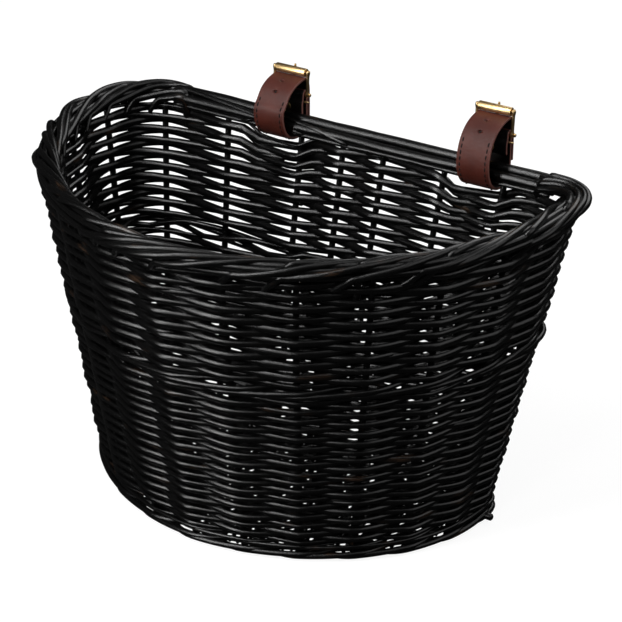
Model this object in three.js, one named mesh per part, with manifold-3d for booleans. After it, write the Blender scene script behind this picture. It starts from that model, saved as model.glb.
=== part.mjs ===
// A woven willow handlebar basket: a D-shaped basket with a flat back, a rolled border round its rim,
// and two buckled leather straps that loop round the back of the border to hang it on a handlebar.
//
// Millimetres, +Z up. The origin is the centre of the underside of the base. The flat back faces +Y
// (towards the bicycle), the round front faces -Y, and +X is to the right seen from the front.

import * as THREE from "three";
import { mergeVertices } from "three/addons/utils/BufferGeometryUtils.js";
import Module from "manifold-3d";

const wasm = await Module();
wasm.setup();

// ---------------------------------------------------------------- driving dimensions

const HEIGHT = 233; // base to the top of the border
const RIM_WIDTH = 380; // outside of the border, side to side
const RIM_DEPTH = 241; // outside of the border, front to back
const BASE_WIDTH = 296; // outside of the weave at the foot
const BASE_DEPTH = 147;
const RIM_BACK = 125; // y of the back of the border

const WALL = 9.6; // thickness of the woven wall: one stake with a weaver on each side
const STAKE = 4.8; // diameter of an upright stake
const CHANNEL = 6.2; // diameter of the way that the weave leaves for a stake
const GAP = 0.3; // clearance between neighbouring pieces

const FOOT_WALE_TOP = 13;
const MID_WALE_BOTTOM = 129;
const MID_WALE_TOP = 140;

const BORDER_ROD = 7.4; // diameter of each rod of the rolled border
const BORDER_SPREAD = 4.1; // the two lower border rods sit this far to each side of the middle
const BORDER_HEIGHT = 14.2; // top of the upper rod to the bottom of the lower rods

// Distances along the rim from the middle of the back to the stakes of the back panel. They are set
// by hand on such a basket, and leave the two wide bays that the straps pass through.
const BACK_STAKES = [-153, -98, -36, -2, 31, 79, 124];
const FRONT_STAKES = 14; // evenly spaced round the sides and the front

const BASE_PLATE = 9;
const BASE_STICK = 5;
const BASE_STICK_Y = [57.5, 32, 7, -18, -41];

const STRAP_WIDTH = 24;
const LEATHER = 1.9; // thickness of the strap
const STRAPS = [
  { side: "left", x: -54, rise: 25 }, // rise: height of the roller above the border
  { side: "right", x: 106, rise: 31 },
];

const HOLE = 2.6; // punched holes, at these distances along the leather from the roller
const HOLE_DISTANCES = [10.5, 21];

const FRAME_LENGTH = 15.5; // heel pin to roller
const FRAME_WIRE = 1.8;
const FRAME_END = 2.1; // radius of the rounded ends of a side bar
const HEEL_PIN = 2;
const ROLLER = 6;
const AXLE = 2.4;
const PRONG = 2;

// Facets on each stretch of the outline: half the flat back, a corner, half the round front, and back.
const FACETS = [1, 6, 18, 18, 6, 1];

// ---------------------------------------------------------------- materials

const blackWillow = new THREE.MeshStandardMaterial({ color: 0x111213, roughness: 0.42, metalness: 0 });
const brownLeather = new THREE.MeshStandardMaterial({ color: 0x4a1f18, roughness: 0.5, metalness: 0 });
const brass = new THREE.MeshStandardMaterial({ color: 0xc79a55, roughness: 0.28, metalness: 1 });

const basket = new THREE.Group();

function addPiece(name, geometry, material, parent = basket) {
  const mesh = new THREE.Mesh(geometry, material);
  mesh.name = name;
  parent.add(mesh);
  return mesh;
}

// ---------------------------------------------------------------- solids and booleans

function toSolid(geometry) {
  const bare = geometry.clone();
  bare.deleteAttribute("normal");
  bare.deleteAttribute("uv");
  const merged = mergeVertices(bare, 1e-4);
  const mesh = new wasm.Mesh({
    numProp: 3,
    vertProperties: new Float32Array(merged.attributes.position.array),
    triVerts: new Uint32Array(merged.index.array),
  });
  return new wasm.Manifold(mesh);
}

function toGeometry(solid) {
  const mesh = solid.getMesh();
  const geometry = new THREE.BufferGeometry();
  geometry.setAttribute("position", new THREE.BufferAttribute(mesh.vertProperties, 3));
  geometry.setIndex(new THREE.BufferAttribute(mesh.triVerts, 1));
  return geometry;
}

function cut(geometry, cutters) {
  let solid = toSolid(geometry);
  for (const cutter of cutters) {
    solid = solid.subtract(toSolid(cutter));
  }
  return toGeometry(solid);
}

function join(geometries) {
  let solid = toSolid(geometries[0]);
  for (const geometry of geometries.slice(1)) {
    solid = solid.add(toSolid(geometry));
  }
  return toGeometry(solid);
}

// ---------------------------------------------------------------- the D-shaped outline

// Middle of the wall at the rim and at the foot. `back`, `widest` and `front` are y values, and
// `flat` is half the straight run of the back.
const RIM_INSET = 9.5;
const FOOT_INSET = 5.5;
const FOOT_FRONT = -BASE_DEPTH / 2;
const FOOT_BACK = BASE_DEPTH / 2;
const RIM = {
  half: RIM_WIDTH / 2 - RIM_INSET,
  back: RIM_BACK - RIM_INSET,
  widest: RIM_BACK - 63,
  front: RIM_BACK - RIM_DEPTH + RIM_INSET,
  flat: 138,
};
const FOOT = {
  half: BASE_WIDTH / 2 - FOOT_INSET,
  back: FOOT_BACK - FOOT_INSET,
  widest: FOOT_BACK - 26,
  front: FOOT_FRONT + FOOT_INSET,
  flat: 112,
};
const FRONT_SQUARENESS = 1.86; // 2 is an ellipse, and less is more pointed
const CORNER_SQUARENESS = 2.3;

function sectionAt(z) {
  const t = z / HEIGHT;
  const mix = (key) => THREE.MathUtils.lerp(FOOT[key], RIM[key], t);
  return {
    half: mix("half"),
    back: mix("back"),
    widest: mix("widest"),
    front: mix("front"),
    flat: mix("flat"),
  };
}

// How far the right back corner stands out beyond the left one, at the foot and at the rim.
const BULGE_FOOT = 6;
const BULGE_RIM = 9.5;
const BULGE_TURN = 1.55;
const BULGE_REACH = 0.3;

function cornerBulge(turn, z) {
  const away = (turn - BULGE_TURN) / BULGE_REACH;
  return THREE.MathUtils.lerp(BULGE_FOOT, BULGE_RIM, z / HEIGHT) * Math.exp(-away * away);
}

// A point of the outline at height z, moved outwards. `turn` runs from 0 at the middle of the back
// to 3 at the middle of the front, and on to 6 round the other side.
function outlinePoint(turn, z, outward) {
  if (turn > 3) {
    const point = rightHalfPoint(6 - turn, z, outward);
    point.x = -point.x;
    return point;
  }
  return rightHalfPoint(turn, z, outward + cornerBulge(turn, z));
}

function rightHalfPoint(turn, z, outward) {
  const s = sectionAt(z);
  if (turn <= 1) {
    return new THREE.Vector3(s.flat * turn, s.back + outward, z);
  }
  const inCorner = turn <= 2;
  const angle = (turn - (inCorner ? 1 : 2)) * (Math.PI / 2);
  const sine = Math.sin(angle);
  const cosine = Math.max(0, Math.cos(angle));
  if (inCorner) {
    const power = 2 / CORNER_SQUARENESS;
    const x = s.flat + (s.half + outward - s.flat) * sine ** power;
    const y = s.widest + (s.back + outward - s.widest) * cosine ** power;
    return new THREE.Vector3(x, y, z);
  }
  const power = 2 / FRONT_SQUARENESS;
  const x = (s.half + outward) * cosine ** power;
  const y = s.widest - (s.widest - s.front + outward) * sine ** power;
  return new THREE.Vector3(x, y, z);
}

// Turns against distance along the rim, from the middle of the back.
const FINE = 1200;
const travel = [0];
for (let i = 1; i <= FINE; i += 1) {
  const before = outlinePoint(((i - 1) * 6) / FINE, HEIGHT, 0);
  const after = outlinePoint((i * 6) / FINE, HEIGHT, 0);
  travel.push(travel[i - 1] + before.distanceTo(after));
}
const RIM_LENGTH = travel[FINE];

function turnAt(distance) {
  const wanted = THREE.MathUtils.euclideanModulo(distance, RIM_LENGTH);
  let i = travel.findIndex((d) => d > wanted);
  i = i < 1 ? FINE : i;
  const part = (wanted - travel[i - 1]) / (travel[i] - travel[i - 1]);
  return ((i - 1 + part) * 6) / FINE;
}

function distanceAt(turn) {
  return travel[Math.round((turn * FINE) / 6)];
}

const facetTurns = FACETS.flatMap((count, stretch) => {
  const from = distanceAt(stretch);
  const to = distanceAt(stretch + 1);
  const step = (to - from) / count;
  return Array.from({ length: count }, (_, i) => (i === 0 ? stretch : turnAt(from + step * i)));
});
const AROUND = facetTurns.length;

// A ring round the basket: `profile` lists [outward, z] corners of its cross-section, counter-clockwise
// with outward to the right and z up.
function ringSolid(profile) {
  const points = [];
  const index = [];
  for (const turn of facetTurns) {
    for (const [outward, z] of profile) {
      const p = outlinePoint(turn, z, outward);
      points.push(p.x, p.y, p.z);
    }
  }
  const n = profile.length;
  for (let i = 0; i < AROUND; i += 1) {
    const here = i * n;
    const next = ((i + 1) % AROUND) * n;
    for (let j = 0; j < n; j += 1) {
      const k = (j + 1) % n;
      index.push(here + j, here + k, next + k, here + j, next + k, next + j);
    }
  }
  const geometry = new THREE.BufferGeometry();
  geometry.setAttribute("position", new THREE.Float32BufferAttribute(points, 3));
  geometry.setIndex(index);
  return geometry;
}

// A solid plate inside the outline, from z = bottom to z = top.
function plateSolid(bottom, top, outward) {
  const points = [];
  const index = [];
  for (const z of [bottom, top]) {
    points.push(0, 0, z);
    for (const turn of facetTurns) {
      const p = outlinePoint(turn, z, outward);
      points.push(p.x, p.y, p.z);
    }
  }
  const upper = AROUND + 1;
  for (let i = 0; i < AROUND; i += 1) {
    const a = 1 + i;
    const b = 1 + ((i + 1) % AROUND);
    index.push(0, a, b, upper, upper + b, upper + a);
    index.push(a, upper + a, upper + b, a, upper + b, b);
  }
  const geometry = new THREE.BufferGeometry();
  geometry.setAttribute("position", new THREE.Float32BufferAttribute(points, 3));
  geometry.setIndex(index);
  return geometry;
}

// A straight rod between two points.
function rod(start, end, diameter, sides = 8) {
  const length = start.distanceTo(end);
  const geometry = new THREE.CylinderGeometry(diameter / 2, diameter / 2, length, sides);
  const direction = end.clone().sub(start).normalize();
  const turn = new THREE.Quaternion().setFromUnitVectors(new THREE.Vector3(0, 1, 0), direction);
  geometry.applyQuaternion(turn);
  const middle = start.clone().add(end).multiplyScalar(0.5);
  geometry.translate(middle.x, middle.y, middle.z);
  return geometry;
}

// ---------------------------------------------------------------- stakes

const frontStart = BACK_STAKES[BACK_STAKES.length - 1];
const frontLength = RIM_LENGTH + BACK_STAKES[0] - frontStart;
const frontDistances = [];
for (let i = 1; i <= FRONT_STAKES; i += 1) {
  frontDistances.push(frontStart + (frontLength * i) / (FRONT_STAKES + 1));
}
const stakeTurns = [...BACK_STAKES, ...frontDistances].map(turnAt);

const STAKE_FOOT = 1.5;
const WALL_TOP = HEIGHT - BORDER_HEIGHT - 1.2;

function stakeRod(turn, from, to, diameter, sides) {
  return rod(outlinePoint(turn, from, 0), outlinePoint(turn, to, 0), diameter, sides);
}

stakeTurns.forEach((turn, i) => {
  const name = `stake_${String(i + 1).padStart(2, "0")}`;
  addPiece(name, stakeRod(turn, STAKE_FOOT, WALL_TOP, STAKE, 8), blackWillow);
});

// ---------------------------------------------------------------- base

const STICK_Z = BASE_PLATE / 2;
const PLATE_INSET = WALL / 2 + 0.7;
const STICK_MARGIN = 1.5; // the sticks stop just inside the edge of the base weave
const STICK_END_OUT = 13; // one stick pokes out through the right of the foot wale

// Half the width of the base weave, at its narrowest across the thickness of a stick at y.
function halfWidthAt(y) {
  let narrowest = FOOT.half;
  for (let turn = 1; turn <= 3; turn += 0.02) {
    const p = outlinePoint(turn, STICK_Z, -PLATE_INSET);
    if (Math.abs(p.y - y) < BASE_STICK / 2 + 1) {
      narrowest = Math.min(narrowest, p.x);
    }
  }
  return narrowest;
}

const baseSticks = BASE_STICK_Y.map((y, i) => {
  const reach = halfWidthAt(y);
  const left = -(reach - STICK_MARGIN);
  const right = i === 0 ? reach + STICK_END_OUT : reach - STICK_MARGIN;
  return { y, left, right };
});

function stickRod(stick, diameter, extra) {
  const start = new THREE.Vector3(stick.left - extra, stick.y, STICK_Z);
  const end = new THREE.Vector3(stick.right + extra, stick.y, STICK_Z);
  return rod(start, end, diameter);
}

baseSticks.forEach((stick, i) => {
  addPiece(`base_stick_${i + 1}`, stickRod(stick, BASE_STICK, 0), blackWillow);
});

const stickChannels = baseSticks.map((stick) => stickRod(stick, BASE_STICK + 2 * GAP, 9));
addPiece("base_weave", cut(plateSolid(0, BASE_PLATE, -PLATE_INSET), stickChannels), blackWillow);

// ---------------------------------------------------------------- wall

const stakeChannels = stakeTurns.map((turn) => stakeRod(turn, -8, HEIGHT + 8, CHANNEL, 6));

function bandProfile(bottom, top, thickness) {
  const half = thickness / 2;
  return [
    [half, bottom],
    [half, top],
    [-half, top],
    [-half, bottom],
  ];
}

function wallBand(name, bottom, top, thickness, extraCutters = []) {
  const ring = ringSolid(bandProfile(bottom, top, thickness));
  addPiece(name, cut(ring, [...stakeChannels, ...extraCutters]), blackWillow);
}

// The straps pass under the border through these two notches in the top of the siding.
const NOTCH_DEPTH = 12;
const NOTCH_CLEARANCE = 1.1;
const strapNotches = STRAPS.map(({ x }) => {
  const notch = new THREE.BoxGeometry(STRAP_WIDTH + 2 * NOTCH_CLEARANCE, 40, 2 * NOTCH_DEPTH);
  return notch.translate(x, RIM_BACK - RIM_INSET, WALL_TOP);
});

wallBand("foot_wale", 0, FOOT_WALE_TOP, WALL + 0.4, [stickChannels[0]]);
wallBand("lower_siding", FOOT_WALE_TOP + GAP, MID_WALE_BOTTOM - GAP, WALL);
wallBand("middle_wale", MID_WALE_BOTTOM, MID_WALE_TOP, WALL + 0.8);
wallBand("upper_siding", MID_WALE_TOP + GAP, WALL_TOP, WALL, strapNotches);

// ---------------------------------------------------------------- rolled border

const BORDER_CENTRE = RIM_INSET - BORDER_SPREAD - BORDER_ROD / 2; // outwards from the middle of the wall

function roundProfile(outward, z, diameter, sides) {
  const profile = [];
  for (let i = 0; i < sides; i += 1) {
    const angle = (i * 2 * Math.PI) / sides;
    const across = outward + (Math.cos(angle) * diameter) / 2;
    profile.push([across, z + (Math.sin(angle) * diameter) / 2]);
  }
  return profile;
}

const lowerRodZ = HEIGHT - BORDER_HEIGHT + BORDER_ROD / 2;
const upperRodZ = HEIGHT - BORDER_ROD / 2;
const borderRods = [
  ["border_outer_rod", BORDER_CENTRE + BORDER_SPREAD, lowerRodZ],
  ["border_inner_rod", BORDER_CENTRE - BORDER_SPREAD, lowerRodZ],
  ["border_top_rod", BORDER_CENTRE, upperRodZ],
];
for (const [name, outward, z] of borderRods) {
  addPiece(name, ringSolid(roundProfile(outward, z, BORDER_ROD, 8)), blackWillow);
}

// ---------------------------------------------------------------- straps and buckles

// Strap shapes are drawn in (depth, height) measured from the back of the border and its top, and
// extruded along x.
const depthAxis = new THREE.Vector3(0, 1, 0);
const heightAxis = new THREE.Vector3(0, 0, 1);
const widthAxis = new THREE.Vector3(1, 0, 0);
const strapBasis = new THREE.Matrix4().makeBasis(depthAxis, heightAxis, widthAxis);

function extrudeAcross(shape, width, curveSegments = 8) {
  const geometry = new THREE.ExtrudeGeometry(shape, { depth: width, bevelEnabled: false, curveSegments });
  geometry.translate(0, 0, -width / 2);
  return geometry.applyMatrix4(strapBasis);
}

// Middle line of the leather: from the loose tail behind, through the buckle, over the top, down
// inside the basket, under the border, up the back, and round the heel pin to the riveted fold.
function strapLine(rise, heel) {
  const points = [
    [7.2, heel.z - 20],
    [7.2, heel.z - 10],
    [7.1, heel.z - 2],
    [6.9, heel.z + 4],
    [5.4, heel.z + 8.4],
    [2.2, heel.z + 10.7],
    [-4.2, heel.z + 10.9],
    [-11, rise - 6.4],
    [-17, rise - 9.9],
    [-22.4, rise - 16.4],
    [-25.4, 0.2 * rise],
    [-25.9, -1],
    [-24.2, -7.5],
    [-20.8, -13],
    [-15.6, -17],
    [-8.5, -18.8],
    [-1.6, -18.4],
    [3, -15.2],
    [4.2, -9],
    [4.2, heel.z - 8],
    [4.2, heel.z - 2],
  ];
  const fold = 2.2; // radius of the middle of the leather round the heel pin
  for (let degrees = 0; degrees <= 180; degrees += 30) {
    const angle = THREE.MathUtils.degToRad(degrees);
    points.push([heel.y + fold * Math.cos(angle), heel.z + fold * Math.sin(angle)]);
  }
  points.push([-0.6, heel.z - 3]);
  points.push([-1.5, heel.z - 6]);
  points.push([-1.6, heel.z - 10]);
  points.push([-1.3, heel.z - 13.5]);
  return points;
}

const UNDER_ROLLER = 5; // which point of the strap line is under the roller

function strapCurve(rise, heel) {
  const points = strapLine(rise, heel).map(([depth, height]) => new THREE.Vector3(depth, height, 0));
  return new THREE.CatmullRomCurve3(points, false, "centripetal");
}

function ribbonShape(curve, thickness) {
  const divisions = 48;
  const outer = [];
  const inner = [];
  for (let i = 0; i <= divisions; i += 1) {
    const p = curve.getPoint(i / divisions);
    const t = curve.getTangent(i / divisions);
    outer.push(new THREE.Vector2(p.x - (t.y * thickness) / 2, p.y + (t.x * thickness) / 2));
    inner.push(new THREE.Vector2(p.x + (t.y * thickness) / 2, p.y - (t.x * thickness) / 2));
  }
  return new THREE.Shape([...outer, ...inner.reverse()]);
}

// Openings in the leather for the prong: its eye in the fold round the heel pin, and its blade above.
const EYE_OPENING = { width: 4.2, depth: 7.4, height: 9, behindHeel: -0.1, aboveHeel: 0 };
const BLADE_OPENING = { width: 3.2, depth: 7, height: 7.2, behindHeel: 3.8, aboveHeel: 7.9 };
const RIVET_HOLE = 3.9;
const FOLD_MIDDLE = 1.2; // depth of the middle of the riveted fold

function openingBox(opening, heel) {
  const box = new THREE.BoxGeometry(opening.width, opening.depth, opening.height);
  return box.translate(0, heel.y + opening.behindHeel, heel.z + opening.aboveHeel);
}

function strapSolid(rise, heel) {
  const curve = strapCurve(rise, heel);
  const band = extrudeAcross(ribbonShape(curve, LEATHER), STRAP_WIDTH);
  const prongFold = openingBox(EYE_OPENING, heel);
  const prongHole = openingBox(BLADE_OPENING, heel);
  const rivetHole = new THREE.CylinderGeometry(RIVET_HOLE / 2, RIVET_HOLE / 2, 9, 12);
  rivetHole.translate(0, FOLD_MIDDLE, rivetHeight(heel));
  const holes = HOLE_DISTANCES.map((distance) => punchedHole(curve, distance));
  return cut(band, [prongFold, prongHole, rivetHole, ...holes]);
}

// A round hole square through the leather, `distance` along it from the roller towards the front.
function punchedHole(curve, distance) {
  const lengths = curve.getLengths(400);
  const total = lengths[400];
  const rollerPart = UNDER_ROLLER / (curve.points.length - 1);
  const along = (lengths[Math.round(rollerPart * 400)] + distance) / total;
  const centre = curve.getPointAt(along);
  const tangent = curve.getTangentAt(along);
  const hole = new THREE.CylinderGeometry(HOLE / 2, HOLE / 2, 6, 10);
  hole.rotateX(Math.atan2(tangent.x, -tangent.y));
  return hole.translate(0, centre.x, centre.y);
}

const RIVET_BELOW_HEEL = 9.3;

function rivetHeight(heel) {
  return heel.z - RIVET_BELOW_HEEL;
}

// A side bar of the buckle, seen from the side: two round ends joined by straight edges.
function sideBarShape(heel, roller) {
  const lean = Math.atan2(roller.z - heel.z, roller.y - heel.y);
  const quarter = Math.PI / 2;
  const shape = new THREE.Shape();
  shape.absarc(heel.y, heel.z, FRAME_END, lean + quarter, lean + 3 * quarter, false);
  shape.absarc(roller.y, roller.z, FRAME_END, lean - quarter, lean + quarter, false);
  const bore = new THREE.Path();
  bore.absarc(heel.y, heel.z, HEEL_PIN / 2 + GAP, 0, 2 * Math.PI, true);
  shape.holes.push(bore);
  return shape;
}

function crossCylinder(centre, diameter, length, sides = 16) {
  const half = length / 2;
  const start = new THREE.Vector3(-half, centre.y, centre.z);
  const end = new THREE.Vector3(half, centre.y, centre.z);
  return rod(start, end, diameter, sides);
}

const BAR_X = STRAP_WIDTH / 2 + 0.6 + FRAME_WIRE / 2;

function frameSolid(heel, roller) {
  const bar = extrudeAcross(sideBarShape(heel, roller), FRAME_WIRE, 5);
  const left = bar.clone().translate(-BAR_X, 0, 0);
  const right = bar.clone().translate(BAR_X, 0, 0);
  return join([left, right, crossCylinder(roller, AXLE, 2 * BAR_X)]);
}

function heelPinSolid(heel) {
  const shank = crossCylinder(heel, HEEL_PIN, 2 * BAR_X + FRAME_WIRE + 3, 12);
  const headX = BAR_X + FRAME_WIRE / 2 + GAP + 0.5;
  const head = crossCylinder(heel, HEEL_PIN + 1.2, 1, 12);
  return join([shank, head.clone().translate(headX, 0, 0), head.clone().translate(-headX, 0, 0)]);
}

function rollerSolid(roller) {
  const tube = crossCylinder(roller, ROLLER, STRAP_WIDTH + 0.4, 20);
  return cut(tube, [crossCylinder(roller, AXLE + 2 * GAP, STRAP_WIDTH + 4, 16)]);
}

function prongSolid(heel) {
  const eyeDiameter = 5.4;
  const eyeWidth = 3;
  const eye = crossCylinder(heel, eyeDiameter, eyeWidth);
  const blade = new THREE.CatmullRomCurve3([
    new THREE.Vector3(0, heel.y + 0.2, heel.z + 1.9),
    new THREE.Vector3(0, heel.y + 1.5, heel.z + 6),
    new THREE.Vector3(0, heel.y + 3.7, heel.z + 10.2),
    new THREE.Vector3(0, heel.y + 5.4, heel.z + 13.2),
    new THREE.Vector3(0, heel.y + 5.8, heel.z + 18.6),
  ]);
  const section = new THREE.Shape();
  section.absarc(0, 0, PRONG / 2, 0, 2 * Math.PI, false);
  const sweep = { steps: 8, extrudePath: blade, curveSegments: 4, bevelEnabled: false };
  const arm = new THREE.ExtrudeGeometry(section, sweep);
  return cut(join([eye, arm]), [crossCylinder(heel, HEEL_PIN + 2 * GAP, 8)]);
}

// A tubular rivet through both layers of the fold, with a flange at each end.
function rivetSolid(heel) {
  const frontLayer = -1.6;
  const backLayer = 4.2;
  const clearance = 0.15;
  const front = frontLayer - LEATHER / 2 - clearance;
  const back = backLayer + LEATHER / 2 + clearance;
  const flange = 3.1;
  const shank = 1.6;
  const bore = 1;
  const thick = 0.5;
  const profile = [
    [bore, front - thick],
    [flange, front - thick],
    [flange, front],
    [shank, front],
    [shank, back],
    [flange, back],
    [flange, back + thick],
    [bore, back + thick],
    [bore, front - thick],
  ].map(([radius, along]) => new THREE.Vector2(radius, along));
  return new THREE.LatheGeometry(profile, 14).translate(0, 0, rivetHeight(heel));
}

// A thin pin lying in the gap inside the fold, just below the heel pin.
function foldPinSolid(heel) {
  const centre = { y: 1.4, z: heel.z - 5.4 };
  const diameter = 1.7;
  const endsOut = 3.2;
  return crossCylinder(centre, diameter, STRAP_WIDTH + 2 * endsOut, 8);
}

for (const { side, x, rise } of STRAPS) {
  const roller = { y: 3, z: rise };
  const heel = { y: 2, z: rise - FRAME_LENGTH };
  const assembly = new THREE.Group();
  assembly.position.set(x, RIM_BACK, HEIGHT);
  addPiece(`${side}_strap`, strapSolid(rise, heel), brownLeather, assembly);
  addPiece(`${side}_rivet`, rivetSolid(heel), brass, assembly);
  addPiece(`${side}_fold_pin`, foldPinSolid(heel), brass, assembly);
  addPiece(`${side}_heel_pin`, heelPinSolid(heel), brass, assembly);
  addPiece(`${side}_buckle_frame`, frameSolid(heel, roller), brass, assembly);
  addPiece(`${side}_buckle_roller`, rollerSolid(roller), brass, assembly);
  addPiece(`${side}_buckle_prong`, prongSolid(heel), brass, assembly);
  basket.add(assembly);
}

export default basket;
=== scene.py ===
"""Looks of a woven willow handlebar basket with a rolled border and two buckled leather straps.

Every rod of the basket is built as a round rod along its own path: the weavers pass in front of one
stake and behind the next, the wales are three rods twisted round the stakes, and the rolled border is
a rope of strands that cross the top of the rim from outside to inside. The straps are swept, punched
and stitched, and the buckles are turned and bent wire.

Metres, +Z up, the frame of the CAD part: the flat back faces +Y and the round front faces -Y.
"""

import math

import bmesh
import bpy
import numpy as np
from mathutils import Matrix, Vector


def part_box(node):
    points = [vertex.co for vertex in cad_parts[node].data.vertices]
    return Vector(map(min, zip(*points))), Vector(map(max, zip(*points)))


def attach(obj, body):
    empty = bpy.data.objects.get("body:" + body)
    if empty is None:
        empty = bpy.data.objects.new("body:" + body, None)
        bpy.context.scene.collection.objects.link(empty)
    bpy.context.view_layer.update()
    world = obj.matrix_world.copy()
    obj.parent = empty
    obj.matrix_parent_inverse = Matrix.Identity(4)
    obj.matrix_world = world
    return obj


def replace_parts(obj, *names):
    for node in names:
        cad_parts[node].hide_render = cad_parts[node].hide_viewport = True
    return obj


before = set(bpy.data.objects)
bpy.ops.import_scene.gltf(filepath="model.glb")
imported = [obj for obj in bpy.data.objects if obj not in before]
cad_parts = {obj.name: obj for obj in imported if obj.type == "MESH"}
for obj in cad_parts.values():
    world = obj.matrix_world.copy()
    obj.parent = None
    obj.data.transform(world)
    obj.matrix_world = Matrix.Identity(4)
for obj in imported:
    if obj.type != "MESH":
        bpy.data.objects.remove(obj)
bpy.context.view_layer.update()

MM = 0.001


def middle_and_half(node):
    """The middle of a CAD node and half its width along x, in millimetres."""
    low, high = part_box(node)
    return (np.array(low) + np.array(high)) / 2 / MM, (high.x - low.x) / 2 / MM


# ---- the D-shaped outline

# Middle of the woven wall at the rim and at the foot, in millimetres: half width, y of the back, y of
# the widest place, y of the front, and half the straight run of the back.
HEIGHT = 233.0
RIM = np.array([180.5, 115.5, 62.0, -106.5, 138.0])
FOOT = np.array([142.5, 68.0, 47.5, -68.0, 112.0])
# Powers of cosine and sine: the round front is a little slimmer than an ellipse, the corners are fuller.
FRONT_POWER = 2 / 1.86
CORNER_POWER = 2 / 2.3
BULGE_FOOT, BULGE_RIM = 6.0, 9.5  # how far the right back corner stands out beyond the left one
BULGE_TURN, BULGE_REACH = 1.55, 0.3


def outline(turn, z, outward):
    """Points of the outline at height z, moved outwards: turn 0 is the middle of the back, 2 the right
    side, 3 the middle of the front, 4 the left side and 6 the back again. All in millimetres."""
    turn, z, outward = np.broadcast_arrays(np.mod(turn, 6.0), z, outward)
    mirrored = turn > 3
    t = np.where(mirrored, 6 - turn, turn)
    bulge = BULGE_FOOT + (BULGE_RIM - BULGE_FOOT) * z / HEIGHT
    outward = outward + np.where(mirrored, 0, bulge * np.exp(-(((t - BULGE_TURN) / BULGE_REACH) ** 2)))
    mix = np.clip(z / HEIGHT, -0.1, 1.1)[..., None]
    half, back, widest, front, flat = np.moveaxis(FOOT + (RIM - FOOT) * mix, -1, 0)
    corner = np.clip(t - 1, 0, 1) * math.pi / 2
    round_front = np.clip(t - 2, 0, 1) * math.pi / 2
    corner_cos = np.clip(np.cos(corner), 0, 1) ** CORNER_POWER
    front_cos = np.clip(np.cos(round_front), 0, 1) ** FRONT_POWER
    corner_x = flat + (half + outward - flat) * np.sin(corner) ** CORNER_POWER
    x = np.select([t <= 1, t <= 2], [flat * t, corner_x], (half + outward) * front_cos)
    corner_y = widest + (back + outward - widest) * corner_cos
    front_y = widest - (widest - front + outward) * np.sin(round_front) ** FRONT_POWER
    y = np.where(t <= 2, corner_y, front_y)
    return np.stack([np.where(mirrored, -x, x), y, z], -1)


def lengths_along(points):
    """How far each point is from the first, along the line through them."""
    return np.concatenate([[0], np.cumsum(np.linalg.norm(np.diff(points, axis=0), axis=1))])


# Distance along the rim against turn, so that lengths can be laid off evenly.
TURNS = np.linspace(0, 6, 2401)
TRAVEL = lengths_along(outline(TURNS, HEIGHT, 0.0))
RIM_LENGTH = TRAVEL[-1]


def turn_at(distance):
    laps = np.floor(np.asarray(distance) / RIM_LENGTH)
    return np.interp(distance - laps * RIM_LENGTH, TRAVEL, TURNS) + 6 * laps


def distance_at(turn):
    return float(np.interp(turn, TURNS, TRAVEL))


def wall_points(distance, z, outward):
    """Points at these distances along the rim, and the outward direction at each."""
    turn = turn_at(distance)
    points = outline(turn, z, outward)
    away = outline(turn, z, np.asarray(outward) + 1.0) - points
    away[..., 2] = 0
    return points, away / np.linalg.norm(away, axis=-1, keepdims=True)


# ---- random but repeatable variation


def wander(rng, count, spacing):
    """A smooth random line of values from -1 to 1, with a new value every `spacing` samples."""
    knots = rng.uniform(-1, 1, int(count / spacing) + 3)
    place = np.arange(count) / spacing
    index = place.astype(int)
    part = place - index
    part = part * part * (3 - 2 * part)
    return knots[index] * (1 - part) + knots[index + 1] * part


# ---- rods


def between(a, b, low, high, t):
    """The point that is as far from a to b as t is from low to high."""
    return (high - t) / (high - low) * a + (t - low) / (high - low) * b


def smooth_path(points, step):
    """A centripetal Catmull-Rom curve through the points, sampled about every `step`."""
    p = np.asarray(points, float)
    p = np.vstack([2 * p[0] - p[1], p, 2 * p[-1] - p[-2]])
    knots = np.concatenate([[0], np.cumsum(np.linalg.norm(np.diff(p, axis=0), axis=1) ** 0.5)])
    out = []
    for i in range(1, len(p) - 2):
        length = np.linalg.norm(p[i + 1] - p[i])
        count = max(1, int(math.ceil(length / step)))
        t = np.linspace(knots[i], knots[i + 1], count + 1)[: count if i < len(p) - 3 else count + 1, None]
        t0, t1, t2, t3 = knots[i - 1 : i + 3]
        a1 = between(p[i - 1], p[i], t0, t1, t)
        a2 = between(p[i], p[i + 1], t1, t2, t)
        a3 = between(p[i + 1], p[i + 2], t2, t3, t)
        b1 = between(a1, a2, t0, t2, t)
        b2 = between(a2, a3, t1, t3, t)
        out.append(between(b1, b2, t1, t2, t))
    return np.vstack(out)


def unit(vectors):
    return vectors / np.maximum(np.linalg.norm(vectors, axis=-1, keepdims=True), 1e-9)


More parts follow.
